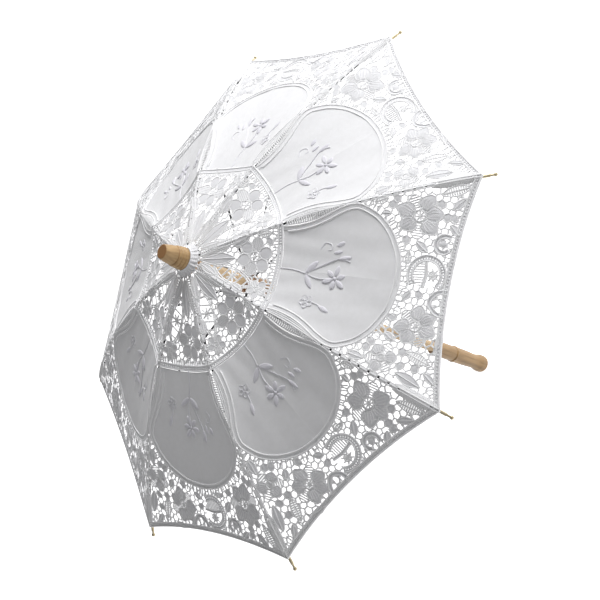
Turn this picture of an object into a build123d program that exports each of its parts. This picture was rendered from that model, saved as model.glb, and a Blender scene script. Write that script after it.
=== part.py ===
from build123d import *

import os
from math import asin, atan2, cos, degrees, hypot, pi, radians, sin, sqrt

# A lace parasol, open, with its shaft along +Z and the butt of its handle at the origin.
# Millimetres. Rib 1 points along +X and the others follow anticlockwise seen from above.

# ---- overall sizes -------------------------------------------------------------------
RIB_COUNT = 8
TIP_RADIUS = 290.0        # shaft axis to the end of an open rib's tip
TIP_HEIGHT = 342.0
TOTAL_HEIGHT = 490.0      # top of the ferrule
PIVOT_RADIUS = 9.5        # circle of the ring wires in the notch and in the runner
NOTCH_PIVOT_HEIGHT = 456.5
RIB_BOW = 17.9            # how far an open rib arches above its own chord
WIRE_FIT = 0.1            # round each ring wire and rivet
GLUE_FIT = 0.05           # round each glued wooden tenon
SLIDE_FIT = 0.08          # between the runner and the shaft

# ---- ribs and stretchers -------------------------------------------------------------
RIB_RADIUS = 1.2
EYE_RADIUS = 1.9          # flattened ends of ribs and stretchers
EYE_THICKNESS = 1.2
EYE_LENGTH = 8.0          # flattened stretch next to an eye
OVERLAP = 1.0             # how far joined stretches of one piece run into each other
RING_WIRE_RADIUS = 0.5
ELBOW_RADIUS = 147.0      # where the stretchers meet the ribs, from the shaft axis
ELBOW_DROP = 1.3          # rivet below the rib's centre line
LUG_RADIUS = 2.0
RIVET_RADIUS = 0.6
STRETCHER_RADIUS = 1.1
FORK_INNER = 1.5          # half the gap between the fork's cheeks
FORK_OUTER = 2.3
FORK_LENGTH = 16.0
FORK_BRIDGE = 4.0         # solid stretch that joins the two cheeks
TIP_LENGTH = 17.0
TIP_SLEEVE = 9.0          # stretch of the tip that covers the rib's end
TIP_OUTER = 1.6
TIP_NECK = 1.1
TIP_KNOB = 1.9
TIP_EDGE = 0.3            # rounding at the open end of a tip's sleeve
RIVET_HEAD_RADIUS = 1.2
RIVET_HEAD = 0.5

# ---- shaft, ferrule and handle -------------------------------------------------------
SHAFT_RADIUS = 5.5
TENON_RADIUS = 4.0
SHAFT_BOTTOM = 32.0
SHAFT_SHOULDER = 460.9
TENON_TOP = 481.0
FERRULE_BOTTOM = 462.2
HANDLE_TOP = 92.0
HANDLE_END_RADIUS = 10.0
PIN_RADIUS = 0.8
PIN_INSET = 0.6           # each end of a pin below the surface of what it goes through
FERRULE_BASE = 10.9       # radius under the lowest of its rings
FERRULE_RINGS = 3
FERRULE_RING = 4.0        # height of each ring
FERRULE_RING_BULGE = 0.7  # how far each ring stands out between its two edges
FERRULE_RING_STEP = 0.4   # how much narrower each ring ends than it starts
FERRULE_GROOVE = 9.2      # radius at the bottom of the groove over the rings
FERRULE_NOSE = 9.7
FERRULE_TIP = 7.5
HANDLE_WAIST = 8.4
HANDLE_GRIP = 8.8
HANDLE_RING = 9.7
TENON_CLEARANCE = 1.0     # space at the end of each glued tenon

# ---- notch and runner ----------------------------------------------------------------
COLLAR_RADIUS = 12.5      # slotted collars that the ribs and the stretchers hinge in
SLOT_WIDTH = 1.7
SLOT_INNER = 7.2
NOTCH_BOTTOM = 452.3
NOTCH_TOP = 460.6
RUNNER_RADIUS = 8.0
RUNNER_SKIRT = 28.0       # sleeve below the runner's ring wire
RUNNER_CROWN = 4.0        # collar above the runner's ring wire
RUNNER_BEADS = (3.2, 19.5)  # heights of the two turned beads over the runner's bottom
BEAD_RADIUS = 0.9
WINDOW_HEIGHT = 11.0      # window in the runner for the lower catch's tooth
NOTCH_CHAMFER = 0.9
SLOT_REACH = 0.4          # each hinge slot past the eyes in it
STOP_PIN_RADIUS = 1.0
CATCH_THICKNESS = 1.2
CATCH_REACH = 24.0        # catch pivot to the shelf of its tooth
CATCH_DEPTH = 1.5         # catch pivot off the shaft axis
CATCH_TOOTH = 7.5         # how far the tooth stands from the shaft axis
CATCH_HUB = 2.0
CATCH_TAIL = 3.5          # blade past the shelf
CATCH_BACK = 1.8          # blade beyond the shelf, from the pivot towards the tooth
CATCH_RAMP = 14.0         # height of the tooth's slope

# ---- canopy --------------------------------------------------------------------------
FABRIC_GAP = 0.7          # between a rib and the fabric over it
FABRIC_THICKNESS = 0.9
PANEL_GAP = 0.25          # from each panel to the planes that divide the canopy
CANOPY_INNER = 15.6
HEM_CORNER = 281.0        # where the fabric is sewn to the ribs
HEM_MIDDLE = 271.0        # the same, half way between two ribs
FABRIC_SAG = 7.0          # how far the fabric dips between two ribs
SECTIONS = 7

# ---- geometry of an open rib, in the plane of the rib --------------------------------
CHORD = hypot(TIP_RADIUS - PIVOT_RADIUS, NOTCH_PIVOT_HEIGHT - TIP_HEIGHT)
CHORD_SLOPE = atan2(NOTCH_PIVOT_HEIGHT - TIP_HEIGHT, TIP_RADIUS - PIVOT_RADIUS)
ARC_RADIUS = (CHORD**2 / 4 + RIB_BOW**2) / (2 * RIB_BOW)
ARC_X = (PIVOT_RADIUS + TIP_RADIUS) / 2 + sin(CHORD_SLOPE) * (RIB_BOW - ARC_RADIUS)
ARC_Z = (NOTCH_PIVOT_HEIGHT + TIP_HEIGHT) / 2 + cos(CHORD_SLOPE) * (RIB_BOW - ARC_RADIUS)
STEP = 360 / RIB_COUNT
HALF_STEP = radians(STEP / 2)


def rib_height(radius):
    """Height of an open rib's centre line, at a distance from the shaft axis."""
    return ARC_Z + sqrt(ARC_RADIUS**2 - (radius - ARC_X) ** 2)


def rib_slope(radius):
    """Slope of an open rib there, in radians below horizontal."""
    return asin((radius - ARC_X) / ARC_RADIUS)


ELBOW_X = ELBOW_RADIUS - ELBOW_DROP * sin(rib_slope(ELBOW_RADIUS))
ELBOW_Z = rib_height(ELBOW_RADIUS) - ELBOW_DROP * cos(rib_slope(ELBOW_RADIUS))
STRETCHER_LENGTH = hypot(ELBOW_X - PIVOT_RADIUS, NOTCH_PIVOT_HEIGHT - ELBOW_Z)
STRETCHER_SLOPE = atan2(NOTCH_PIVOT_HEIGHT - ELBOW_Z, ELBOW_X - PIVOT_RADIUS)
# a stretcher is as long as the rib from notch to elbow, so the runner's wire is as far
# below the elbow as the notch's wire is above it
RUNNER_PIVOT_HEIGHT = 2 * ELBOW_Z - NOTCH_PIVOT_HEIGHT


def turned(profile):
    """A round body with this outline of (radius, height) points or edges."""
    return revolve(Plane.XZ * profile, Axis.Z)


def outline(*edges):
    """A flat face inside a closed loop of edges."""
    return make_face(Curve() + list(edges))


def across(radius, thickness, x, z):
    """A short rod along Y, centred on the plane of rib 1."""
    return Pos(x, 0, z) * Rot(90, 0, 0) * Cylinder(radius, thickness)


def rod(x0, z0, x1, z1, radius):
    """A straight round rod between two points in the plane of rib 1."""
    start = Vector(x0, 0, z0)
    end = Vector(x1, 0, z1)
    return extrude(Plane(origin=start, z_dir=end - start) * Circle(radius), (end - start).length)


def around(solid, number):
    """The copy of a solid of rib 1 that belongs to another rib."""
    return Rot(0, 0, STEP * number) * solid


# ---- fixed pieces --------------------------------------------------------------------


def make_shaft():
    body = Pos(0, 0, (SHAFT_BOTTOM + SHAFT_SHOULDER) / 2) * Cylinder(
        SHAFT_RADIUS, SHAFT_SHOULDER - SHAFT_BOTTOM
    )
    body += Pos(0, 0, (SHAFT_SHOULDER + TENON_TOP) / 2) * Cylinder(
        TENON_RADIUS, TENON_TOP - SHAFT_SHOULDER
    )
    body -= catch_slot(UPPER_CATCH_PIVOT, 1)
    body -= catch_slot(LOWER_CATCH_PIVOT, -1)
    for height in (UPPER_CATCH_PIVOT, LOWER_CATCH_PIVOT):
        body -= Pos(0, -CATCH_DEPTH, height) * Rot(0, 90, 0) * Cylinder(PIN_RADIUS, 4 * SHAFT_RADIUS)
    body -= Pos(0, 0, STOP_PIN_HEIGHT) * Rot(0, 90, 0) * Cylinder(STOP_PIN_RADIUS, 4 * SHAFT_RADIUS)
    body -= notch_pin_rod(4 * SHAFT_RADIUS)
    return body


def make_ferrule():
    """Turned wood: a tapered nose above a groove and three swelling rings."""
    top = TOTAL_HEIGHT
    bottom = FERRULE_BOTTOM
    foot = 1.4
    radius = FERRULE_BASE
    height = bottom + 1.6
    edges = [
        Line((0, bottom), (radius - foot, bottom)),
        ThreePointArc((radius - foot, bottom), (radius - 0.4, bottom + 0.5), (radius, height)),
    ]
    for _ in range(FERRULE_RINGS):
        ring_top = (radius - FERRULE_RING_STEP, height + FERRULE_RING)
        middle = (radius - FERRULE_RING_STEP / 2 + FERRULE_RING_BULGE, height + FERRULE_RING / 2)
        edges.append(ThreePointArc((radius, height), middle, ring_top))
        radius, height = ring_top
    groove = height + 0.2
    nose = groove + 0.9
    edge = 0.9
    edges += [
        Line((radius, height), (FERRULE_GROOVE, groove)),
        Line((FERRULE_GROOVE, groove), (FERRULE_GROOVE, groove + 0.7)),
        Line((FERRULE_GROOVE, groove + 0.7), (FERRULE_NOSE, nose)),
        ThreePointArc((FERRULE_NOSE, nose), (8.7, nose + 6.3), (FERRULE_TIP, top - edge)),
        ThreePointArc((FERRULE_TIP, top - edge), (7.16, top - 0.27), (FERRULE_TIP - 1.0, top)),
        Line((FERRULE_TIP - 1.0, top), (0, top)),
        Line((0, top), (0, bottom)),
    ]
    bore_top = TENON_TOP + TENON_CLEARANCE
    bore = Pos(0, 0, (bottom + bore_top) / 2) * Cylinder(TENON_RADIUS + GLUE_FIT, bore_top - bottom)
    return turned(outline(*edges)) - bore


def make_handle():
    """Turned wood: a rounded end, a waist, a long swell with a ring, and a grip."""
    points = {
        "end": (HANDLE_END_RADIUS, 9.4),
        "waist": (HANDLE_WAIST, 17.5),
        "swell": (9.0, 44.0),
        "ring": (9.1, 54.4),
        "shoulder": (HANDLE_GRIP, HANDLE_TOP - 2.4),
    }
    edges = [
        Line((0, 0), (6.8, 0)),
        ThreePointArc((6.8, 0), (8.8, 0.7), (9.7, 2.6)),
        Line((9.7, 2.6), (9.5, 2.9)),
        Line((9.5, 2.9), (HANDLE_END_RADIUS, 3.4)),
        Line((HANDLE_END_RADIUS, 3.4), points["end"]),
        Spline(points["end"], (9.1, 13.0), points["waist"], (8.6, 27.0), points["swell"], points["ring"]),
        ThreePointArc(points["ring"], (HANDLE_RING, 55.7), (9.0, 57.0)),
        ThreePointArc((9.0, 57.0), (8.6, 57.6), (HANDLE_GRIP, 58.2)),
        Line((HANDLE_GRIP, 58.2), points["shoulder"]),
        ThreePointArc(points["shoulder"], (HANDLE_GRIP - 0.75, HANDLE_TOP - 0.8), (6.6, HANDLE_TOP)),
        Line((6.6, HANDLE_TOP), (0, HANDLE_TOP)),
        Line((0, HANDLE_TOP), (0, 0)),
    ]
    bore_bottom = SHAFT_BOTTOM - TENON_CLEARANCE
    bore = Pos(0, 0, (bore_bottom + HANDLE_TOP) / 2) * Cylinder(
        SHAFT_RADIUS + GLUE_FIT, HANDLE_TOP - bore_bottom
    )
    return turned(outline(*edges)) - bore


def collar(low, high, pivot, slot_low, slot_high):
    """A slotted collar round the shaft, with a groove for its ring wire."""
    body = Pos(0, 0, (low + high) / 2) * Cylinder(COLLAR_RADIUS, high - low)
    groove_inner = PIVOT_RADIUS - RING_WIRE_RADIUS - GLUE_FIT
    groove_half = RING_WIRE_RADIUS + WIRE_FIT
    groove = Pos(0, 0, pivot) * (
        Cylinder(2 * COLLAR_RADIUS, 2 * groove_half) - Cylinder(groove_inner, 2 * groove_half)
    )
    body -= groove
    slot = Pos((SLOT_INNER + 2 * COLLAR_RADIUS) / 2, 0, (slot_low + slot_high) / 2) * Box(
        2 * COLLAR_RADIUS - SLOT_INNER, SLOT_WIDTH, slot_high - slot_low
    )
    for number in range(RIB_COUNT):
        body -= around(slot, number)
    return body


def notch_pin_rod(length):
    """The pin that fixes the notch, between two ribs."""
    turn = STEP / 2
    height = NOTCH_BOTTOM + 1.7
    return Pos(0, 0, height) * Rot(0, 0, turn) * Rot(0, 90, 0) * Cylinder(PIN_RADIUS, length)


def make_notch():
    slot_high = NOTCH_PIVOT_HEIGHT + EYE_RADIUS + SLOT_REACH
    body = collar(NOTCH_BOTTOM, NOTCH_TOP, NOTCH_PIVOT_HEIGHT, NOTCH_BOTTOM - 1, slot_high)
    body = chamfer(body.edges().filter_by(GeomType.CIRCLE).group_by(Axis.Z)[-1], NOTCH_CHAMFER)
    middle = (NOTCH_BOTTOM + NOTCH_TOP) / 2
    body -= Pos(0, 0, middle) * Cylinder(SHAFT_RADIUS + GLUE_FIT, 2 * (NOTCH_TOP - NOTCH_BOTTOM))
    body -= notch_pin_rod(4 * COLLAR_RADIUS)
    return body


def ring_wire(height):
    return Pos(0, 0, height) * Torus(PIVOT_RADIUS, RING_WIRE_RADIUS)


def make_crown_cap():
    """The gathered fabric between notch and ferrule: a shallow cone with a flat middle."""
    flat = 11.0
    edge = CANOPY_INNER - 0.4
    low = FERRULE_BOTTOM - 1.1
    high = FERRULE_BOTTOM - 0.1
    drop = 1.9
    loop = Polyline(
        (TENON_RADIUS + GLUE_FIT, low),
        (flat, low),
        (edge, low - drop),
        (edge, high - drop),
        (flat, high),
        (TENON_RADIUS + GLUE_FIT, high),
        close=True,
    )
    return turned(make_face(loop))


def make_stop_pin():
    return Pos(0, 0, STOP_PIN_HEIGHT) * Rot(0, 90, 0) * Cylinder(
        STOP_PIN_RADIUS, 2 * (SLOT_INNER - PIN_INSET / 2)
    )


def make_catch_pin(height):
    return Pos(0, -CATCH_DEPTH, height) * Rot(0, 90, 0) * Cylinder(
        PIN_RADIUS, 2 * (SHAFT_RADIUS - PIN_INSET)
    )


# ---- runner and its catches ----------------------------------------------------------


def make_runner():
    low = RUNNER_PIVOT_HEIGHT - RUNNER_SKIRT
    high = RUNNER_PIVOT_HEIGHT + RUNNER_CROWN
    collar_low = RUNNER_PIVOT_HEIGHT - RUNNER_CROWN
    slot_low = RUNNER_PIVOT_HEIGHT - EYE_RADIUS - SLOT_REACH
    body = collar(collar_low, high, RUNNER_PIVOT_HEIGHT, slot_low, high + 1)
    body += Pos(0, 0, (low + collar_low) / 2) * Cylinder(RUNNER_RADIUS, collar_low - low)
    body = fillet(body.edges().filter_by(GeomType.CIRCLE).group_by(Axis.Z)[0], 0.8)
    bead = Torus(RUNNER_RADIUS - BEAD_RADIUS / 3, BEAD_RADIUS)
    for height in RUNNER_BEADS:
        body += Pos(0, 0, low + height) * bead
    body -= Pos(0, 0, (low + high) / 2) * Cylinder(SHAFT_RADIUS + SLIDE_FIT, 2 * (high - low))
    window = Box(CATCH_THICKNESS + 1.4, RUNNER_RADIUS, WINDOW_HEIGHT)
    body -= Pos(0, -RUNNER_RADIUS, low + CATCH_SHELF_WINDOW + WINDOW_HEIGHT / 2) * window
    return body


def catch_slot(pivot, way):
    """The slot in the shaft that a catch sinks into. way is +1 if its tooth is above its pivot."""
    behind = 2.0
    depth = SHAFT_RADIUS + behind
    near = pivot - (CATCH_HUB + 0.6) * way
    far = pivot + (CATCH_REACH + CATCH_TAIL + 1.0) * way
    slot = Box(CATCH_THICKNESS + 0.5, depth, abs(far - near))
    return Pos(0, behind - depth / 2, (near + far) / 2) * slot


def make_catch(pivot, way):
    """A flat steel spring catch. It pivots on its pin, and its tooth stands out of the shaft."""
    tail = CATCH_REACH + CATCH_TAIL
    shelf = 1.6
    blade = Polyline(
        (-CATCH_DEPTH + CATCH_HUB, 0),
        (-CATCH_DEPTH + CATCH_HUB - 0.4, tail * way),
        (-CATCH_DEPTH - CATCH_BACK, tail * way),
        (-CATCH_DEPTH - CATCH_BACK, CATCH_REACH * way),
        (-CATCH_TOOTH, CATCH_REACH * way),
        (-CATCH_TOOTH, (CATCH_REACH - shelf) * way),
        (-CATCH_DEPTH - CATCH_HUB, (CATCH_REACH - CATCH_RAMP) * way),
        (-CATCH_DEPTH - CATCH_HUB, 0),
        close=True,
    )
    shape = make_face(blade) + Pos(-CATCH_DEPTH, 0) * Circle(CATCH_HUB)
    shape -= Pos(-CATCH_DEPTH, 0) * Circle(PIN_RADIUS + WIRE_FIT)
    side_plane = Plane(origin=(0, 0, pivot), x_dir=(0, 1, 0), z_dir=(1, 0, 0))
    return extrude(side_plane * shape, CATCH_THICKNESS / 2, both=True)


# ---- a rib and what hinges on it -----------------------------------------------------


def flat_end(x, z, slope):
    """The flattened eye at an end of a rib or a stretcher, running outwards at a slope."""
    strap = Pos(x, 0, z) * Rot(0, degrees(slope), 0) * Pos(EYE_LENGTH / 2, 0, 0) * Box(
        EYE_LENGTH, EYE_THICKNESS, 2 * RIB_RADIUS
    )
    return strap + across(EYE_RADIUS, EYE_THICKNESS, x, z)


def make_rib():
    """Spring wire bent to an arc, flattened to an eye at its inner end, with a riveted lug."""
    slope = rib_slope(PIVOT_RADIUS)
    wire_start = PIVOT_RADIUS + (EYE_LENGTH - OVERLAP) * cos(slope)
    wire_end = TIP_RADIUS - (TIP_LENGTH - TIP_SLEEVE) * cos(rib_slope(TIP_RADIUS))
    middle = (wire_start + wire_end) / 2
    path = ThreePointArc(
        (wire_start, 0, rib_height(wire_start)),
        (middle, 0, rib_height(middle)),
        (wire_end, 0, rib_height(wire_end)),
    )
    wire = sweep(Plane(origin=path @ 0, z_dir=path % 0) * Circle(RIB_RADIUS), path=path)
    body = wire + flat_end(PIVOT_RADIUS, NOTCH_PIVOT_HEIGHT, slope)
    body += across(LUG_RADIUS, 2 * RIB_RADIUS, ELBOW_X, ELBOW_Z)
    body -= across(RING_WIRE_RADIUS + WIRE_FIT, 2 * EYE_THICKNESS, PIVOT_RADIUS, NOTCH_PIVOT_HEIGHT)
    body -= across(RIVET_RADIUS, 4 * RIB_RADIUS, ELBOW_X, ELBOW_Z)
    head_middle = FORK_OUTER + 0.15 + RIVET_HEAD / 2
    rivet = across(RIVET_RADIUS, 2 * head_middle, ELBOW_X, ELBOW_Z)
    head = across(RIVET_HEAD_RADIUS, RIVET_HEAD, ELBOW_X, ELBOW_Z)
    for side in (-1, 1):
        rivet += Pos(0, side * head_middle, 0) * head
    return Compound(children=[body.solid(), rivet.solid()])


def make_tip():
    """A brass-coloured tip: a sleeve over the rib's end, a neck and a small knob."""
    shoulder = TIP_SLEEVE + 0.6
    knob = TIP_LENGTH - TIP_KNOB
    turn_in = sqrt(TIP_KNOB**2 - TIP_NECK**2)
    bore = RIB_RADIUS + GLUE_FIT
    middle = TIP_EDGE * (1 - sqrt(0.5))
    loop = outline(
        Line((bore, 0), (TIP_OUTER - TIP_EDGE, 0)),
        ThreePointArc((TIP_OUTER - TIP_EDGE, 0), (TIP_OUTER - middle, middle), (TIP_OUTER, TIP_EDGE)),
        Line((TIP_OUTER, TIP_EDGE), (TIP_OUTER, shoulder)),
        Line((TIP_OUTER, shoulder), (TIP_NECK, shoulder + 1.2)),
        Line((TIP_NECK, shoulder + 1.2), (TIP_NECK, knob - turn_in)),
        ThreePointArc((TIP_NECK, knob - turn_in), (TIP_KNOB, knob), (0, TIP_LENGTH)),
        Line((0, TIP_LENGTH), (0, shoulder)),
        Line((0, shoulder), (bore, shoulder)),
        Line((bore, shoulder), (bore, 0)),
    )
    slope = rib_slope(TIP_RADIUS - TIP_LENGTH / 2)
    start = TIP_RADIUS - TIP_LENGTH * cos(slope)
    return Pos(start, 0, rib_height(start)) * Rot(0, 90 + degrees(slope), 0) * turned(loop)


def make_stretcher():
    """A rod with a flat eye in the runner and a fork that straddles the rib."""
    eye_x, eye_z = PIVOT_RADIUS, RUNNER_PIVOT_HEIGHT
    way_x, way_z = cos(STRETCHER_SLOPE), sin(STRETCHER_SLOPE)
    start = EYE_LENGTH - OVERLAP
    end = STRETCHER_LENGTH - FORK_LENGTH + FORK_BRIDGE
    body = rod(
        eye_x + start * way_x,
        eye_z + start * way_z,
        eye_x + end * way_x,
        eye_z + end * way_z,
        STRETCHER_RADIUS,
    )
    body += flat_end(eye_x, eye_z, -STRETCHER_SLOPE)
    fork = Box(FORK_LENGTH, 2 * FORK_OUTER, 2 * LUG_RADIUS - 0.4)
    fork = Pos(-FORK_LENGTH / 2, 0, 0) * fork + across(LUG_RADIUS - 0.2, 2 * FORK_OUTER, 0, 0)
    gap_length = FORK_LENGTH - FORK_BRIDGE + 2 * LUG_RADIUS
    fork -= Pos(2 * LUG_RADIUS - gap_length / 2, 0, 0) * Box(gap_length, 2 * FORK_INNER, 4 * LUG_RADIUS)
    fork -= across(RIVET_RADIUS + WIRE_FIT, 4 * FORK_OUTER, 0, 0)
    body += Pos(ELBOW_X, 0, ELBOW_Z) * Rot(0, -degrees(STRETCHER_SLOPE), 0) * fork
    body -= across(RING_WIRE_RADIUS + WIRE_FIT, 2 * EYE_THICKNESS, eye_x, eye_z)
    return body


# ---- canopy --------------------------------------------------------------------------


def panel_edge_height(radius, offset):
    """Height over a rib of a layer that lies at an offset above the rib's centre line."""
    return ARC_Z + sqrt((ARC_RADIUS + offset) ** 2 - (radius - ARC_X) ** 2)


def sag(radius):
    """How far the fabric dips half way between two ribs."""
    share = (radius - CANOPY_INNER) / (HEM_CORNER - CANOPY_INNER)
    return FABRIC_SAG * sin(pi * min(1.0, max(0.0, share)))


def panel_section(radius):
    """A cross-section of half a gore, between the middle plane of the gore (y = 0) and its rib."""
    x = radius * cos(HALF_STEP)
    rib_y = radius * sin(HALF_STEP)
    low = panel_edge_height(radius, RIB_RADIUS + FABRIC_GAP)
    high = low + FABRIC_THICKNESS / cos(rib_slope(radius))
    y0 = PANEL_GAP
    y1 = rib_y - PANEL_GAP / cos(HALF_STEP)
    ym = (y0 + y1) / 2

    def point(y, z):
        return (x, y, z - sag(radius) * (1 - (y / rib_y) ** 2))

    loop = Curve() + [
        Spline(point(y0, low), point(ym, low), point(y1, low)),
        Line(point(y1, low), point(y1, high)),
        Spline(point(y1, high), point(ym, high), point(y0, high)),
        Line(point(y0, high), point(y0, low)),
    ]
    return make_face(loop)


def make_panel():
    """Half a gore, from the crown to the scalloped hem, in the frame of its gore."""
    past_hem = 4.0
    last = HEM_CORNER + past_hem
    radii = [CANOPY_INNER + (last - CANOPY_INNER) * n / (SECTIONS - 1) for n in range(SECTIONS)]
    band = loft([panel_section(radius) for radius in radii])
    middle_x = HEM_MIDDLE * cos(HALF_STEP)
    corner_x = HEM_CORNER * cos(HALF_STEP)
    corner_y = HEM_CORNER * sin(HALF_STEP)
    dip = corner_x - middle_x
    scallop_radius = (dip**2 + corner_y**2) / (2 * dip)
    scallop = Pos(middle_x + scallop_radius, 0, TIP_HEIGHT) * Cylinder(scallop_radius, 4 * TIP_LENGTH)
    return (band - scallop).solid()


# ---- places of the stop and the catches ----------------------------------------------

FOLD_ANGLE = radians(65)
RUNNER_TRAVEL = 2 * STRETCHER_LENGTH * (sin(STRETCHER_SLOPE + FOLD_ANGLE) - sin(STRETCHER_SLOPE))
RUNNER_OPEN_BOTTOM = RUNNER_PIVOT_HEIGHT - RUNNER_SKIRT
CATCH_SHELF_WINDOW = 5.0  # lower edge of the runner's window, above the runner's bottom
STOP_PIN_HEIGHT = RUNNER_PIVOT_HEIGHT + RUNNER_CROWN + STOP_PIN_RADIUS + 0.3
UPPER_CATCH_PIVOT = RUNNER_OPEN_BOTTOM - 0.4 - CATCH_REACH
LOWER_CATCH_PIVOT = RUNNER_OPEN_BOTTOM - RUNNER_TRAVEL + CATCH_SHELF_WINDOW + 0.5 + CATCH_REACH


def main():
    os.makedirs("parts", exist_ok=True)
    pieces = {
        "shaft": make_shaft(),
        "ferrule": make_ferrule(),
        "handle": make_handle(),
        "top_notch": make_notch(),
        "notch_wire": ring_wire(NOTCH_PIVOT_HEIGHT),
        "notch_pin": notch_pin_rod(2 * COLLAR_RADIUS - 0.8),
        "crown_cap": make_crown_cap(),
        "stop_pin": make_stop_pin(),
        "runner": make_runner(),
        "runner_wire": ring_wire(RUNNER_PIVOT_HEIGHT),
        "upper_catch": make_catch(UPPER_CATCH_PIVOT, 1),
        "upper_catch_pin": make_catch_pin(UPPER_CATCH_PIVOT),
        "lower_catch": make_catch(LOWER_CATCH_PIVOT, -1),
        "lower_catch_pin": make_catch_pin(LOWER_CATCH_PIVOT),
    }
    rib = make_rib()
    tip = make_tip()
    stretcher = make_stretcher()
    half_turn = STEP / 2
    right_panel = Rot(0, 0, -half_turn) * make_panel()
    left_panel = mirror(right_panel, Plane.XZ)
    for number in range(RIB_COUNT):
        name = number + 1
        pieces[f"rib_{name}"] = around(rib, number)
        pieces[f"rib_tip_{name}"] = around(tip, number)
        pieces[f"stretcher_{name}"] = around(stretcher, number)
        pieces[f"canopy_{name}_left"] = around(left_panel, number)
        pieces[f"canopy_{name}_right"] = around(right_panel, number)
    for name, piece in pieces.items():
        export_step(piece, f"parts/{name}.step")
    print(f"{len(pieces)} pieces, runner wire at {RUNNER_PIVOT_HEIGHT:.3f}, travel {RUNNER_TRAVEL:.3f}")
    print(f"elbow {ELBOW_X:.3f}, {ELBOW_Z:.3f}, catches {UPPER_CATCH_PIVOT:.3f}, {LOWER_CATCH_PIVOT:.3f}")


main()
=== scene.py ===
import math

import bpy
import numpy as np
from mathutils import Matrix, Vector


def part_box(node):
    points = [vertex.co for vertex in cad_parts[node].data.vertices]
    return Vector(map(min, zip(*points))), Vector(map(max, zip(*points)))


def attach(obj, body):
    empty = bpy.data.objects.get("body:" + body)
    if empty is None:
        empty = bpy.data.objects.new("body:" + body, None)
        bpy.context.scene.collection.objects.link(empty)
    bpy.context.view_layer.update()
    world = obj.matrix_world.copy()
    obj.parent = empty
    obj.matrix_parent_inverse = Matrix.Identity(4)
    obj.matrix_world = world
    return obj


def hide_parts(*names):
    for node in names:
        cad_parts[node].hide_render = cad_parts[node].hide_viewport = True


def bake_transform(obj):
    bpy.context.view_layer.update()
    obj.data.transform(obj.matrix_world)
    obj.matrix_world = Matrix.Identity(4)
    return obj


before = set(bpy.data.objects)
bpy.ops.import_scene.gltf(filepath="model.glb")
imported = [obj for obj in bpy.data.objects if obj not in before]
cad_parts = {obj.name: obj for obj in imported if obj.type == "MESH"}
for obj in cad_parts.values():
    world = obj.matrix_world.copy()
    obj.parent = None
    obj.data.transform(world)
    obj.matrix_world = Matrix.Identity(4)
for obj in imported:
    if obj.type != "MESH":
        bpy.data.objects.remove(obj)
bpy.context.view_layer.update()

# A lace parasol. Patterns are in millimetres, the scene is in metres.
MM = 0.001
RIBS = 8
HALF_TURN = math.pi / RIBS  # from the middle of a gore to its rib

# ---- shape of the open canopy, as the ribs carry it ----
TIP_RADIUS = 290.0
TIP_HEIGHT = 342.0
PIVOT_RADIUS = 9.5
PIVOT_HEIGHT = 456.5
RIB_BOW = 17.9
FABRIC_LIFT = 2.35  # middle of the fabric above a rib's centre line
FABRIC_SAG = 7.0
CROWN_RADIUS = 15.6
CROWN_HOLE = 11.85  # round the ferrule's foot
HEM_CORNER = 281.0
HEM_MIDDLE = 271.0

CHORD = math.hypot(TIP_RADIUS - PIVOT_RADIUS, PIVOT_HEIGHT - TIP_HEIGHT)
CHORD_SLOPE = math.atan2(PIVOT_HEIGHT - TIP_HEIGHT, TIP_RADIUS - PIVOT_RADIUS)
ARC_RADIUS = (CHORD**2 / 4 + RIB_BOW**2) / (2 * RIB_BOW)
ARC_X = (PIVOT_RADIUS + TIP_RADIUS) / 2 + math.sin(CHORD_SLOPE) * (RIB_BOW - ARC_RADIUS)
ARC_Z = (PIVOT_HEIGHT + TIP_HEIGHT) / 2 + math.cos(CHORD_SLOPE) * (RIB_BOW - ARC_RADIUS)

# ---- lace sizes ----
CORD = 0.85  # radius of a raised cord
THREAD = 0.8  # radius of a bar or a mesh thread
CLOTH = 0.4  # thickness of woven tape and cloth
RAISED = 0.2  # a cord whose middle is this high is sewn onto the cloth
BAND_INNER = 104.0  # octagonal band round the medallion, measured along a rib
BAND_OUTER = 110.0
BAND_BOW = 2.0
HEM_WIDTH = 6.0
MIDDLE_GAP = 0.02  # from each half of a petal to the middle of its gore
SHARP_ANGLE = math.radians(80.0)
SEED = 7


# ---- pattern coordinates: along the middle of a gore, and across it ----


def _arc_table():
    """Distance from the shaft, and length along the middle of a gore, side by side."""
    radius = np.linspace(0.0, TIP_RADIUS, 1161)
    slope = np.arcsin((radius - ARC_X) / ARC_RADIUS)
    stretch = np.sqrt(math.cos(HALF_TURN) ** 2 + np.tan(slope) ** 2)
    steps = (stretch[1:] + stretch[:-1]) / 2 * np.diff(radius)
    return radius, np.concatenate([[0.0], np.cumsum(steps)])


TABLE_RADIUS, TABLE_LENGTH = _arc_table()


def length_at(radius):
    return np.interp(radius, TABLE_RADIUS, TABLE_LENGTH)


def radius_at(length):
    return np.interp(length, TABLE_LENGTH, TABLE_RADIUS)


def half_width(radius):
    """Half the width of a gore at this distance from the shaft."""
    return radius * math.sin(HALF_TURN)


def at(radius, across):
    """A pattern point, given by its distance from the shaft and its distance from the middle."""
    return np.array([float(length_at(radius)), float(across)])


def on_canopy(points):
    """Pattern points (along, across, lift) as points over the gore whose middle is along +X."""
    radius = radius_at(points[:, 0])
    edge = half_width(radius)
    across = np.clip(points[:, 1], -edge, edge)
    share = np.clip((radius - CROWN_RADIUS) / (HEM_CORNER - CROWN_RADIUS), 0.0, 1.0)
    dip = FABRIC_SAG * np.sin(math.pi * share) * (1 - (across / edge) ** 2)
    arc = ARC_RADIUS + FABRIC_LIFT + points[:, 2]
    height = ARC_Z + np.sqrt(arc**2 - (radius - ARC_X) ** 2) - dip
    return joined(radius * math.cos(HALF_TURN), across, height)


# ---- lines in the pattern ----


def joined(*columns):
    return np.stack(columns, axis=1)


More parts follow.
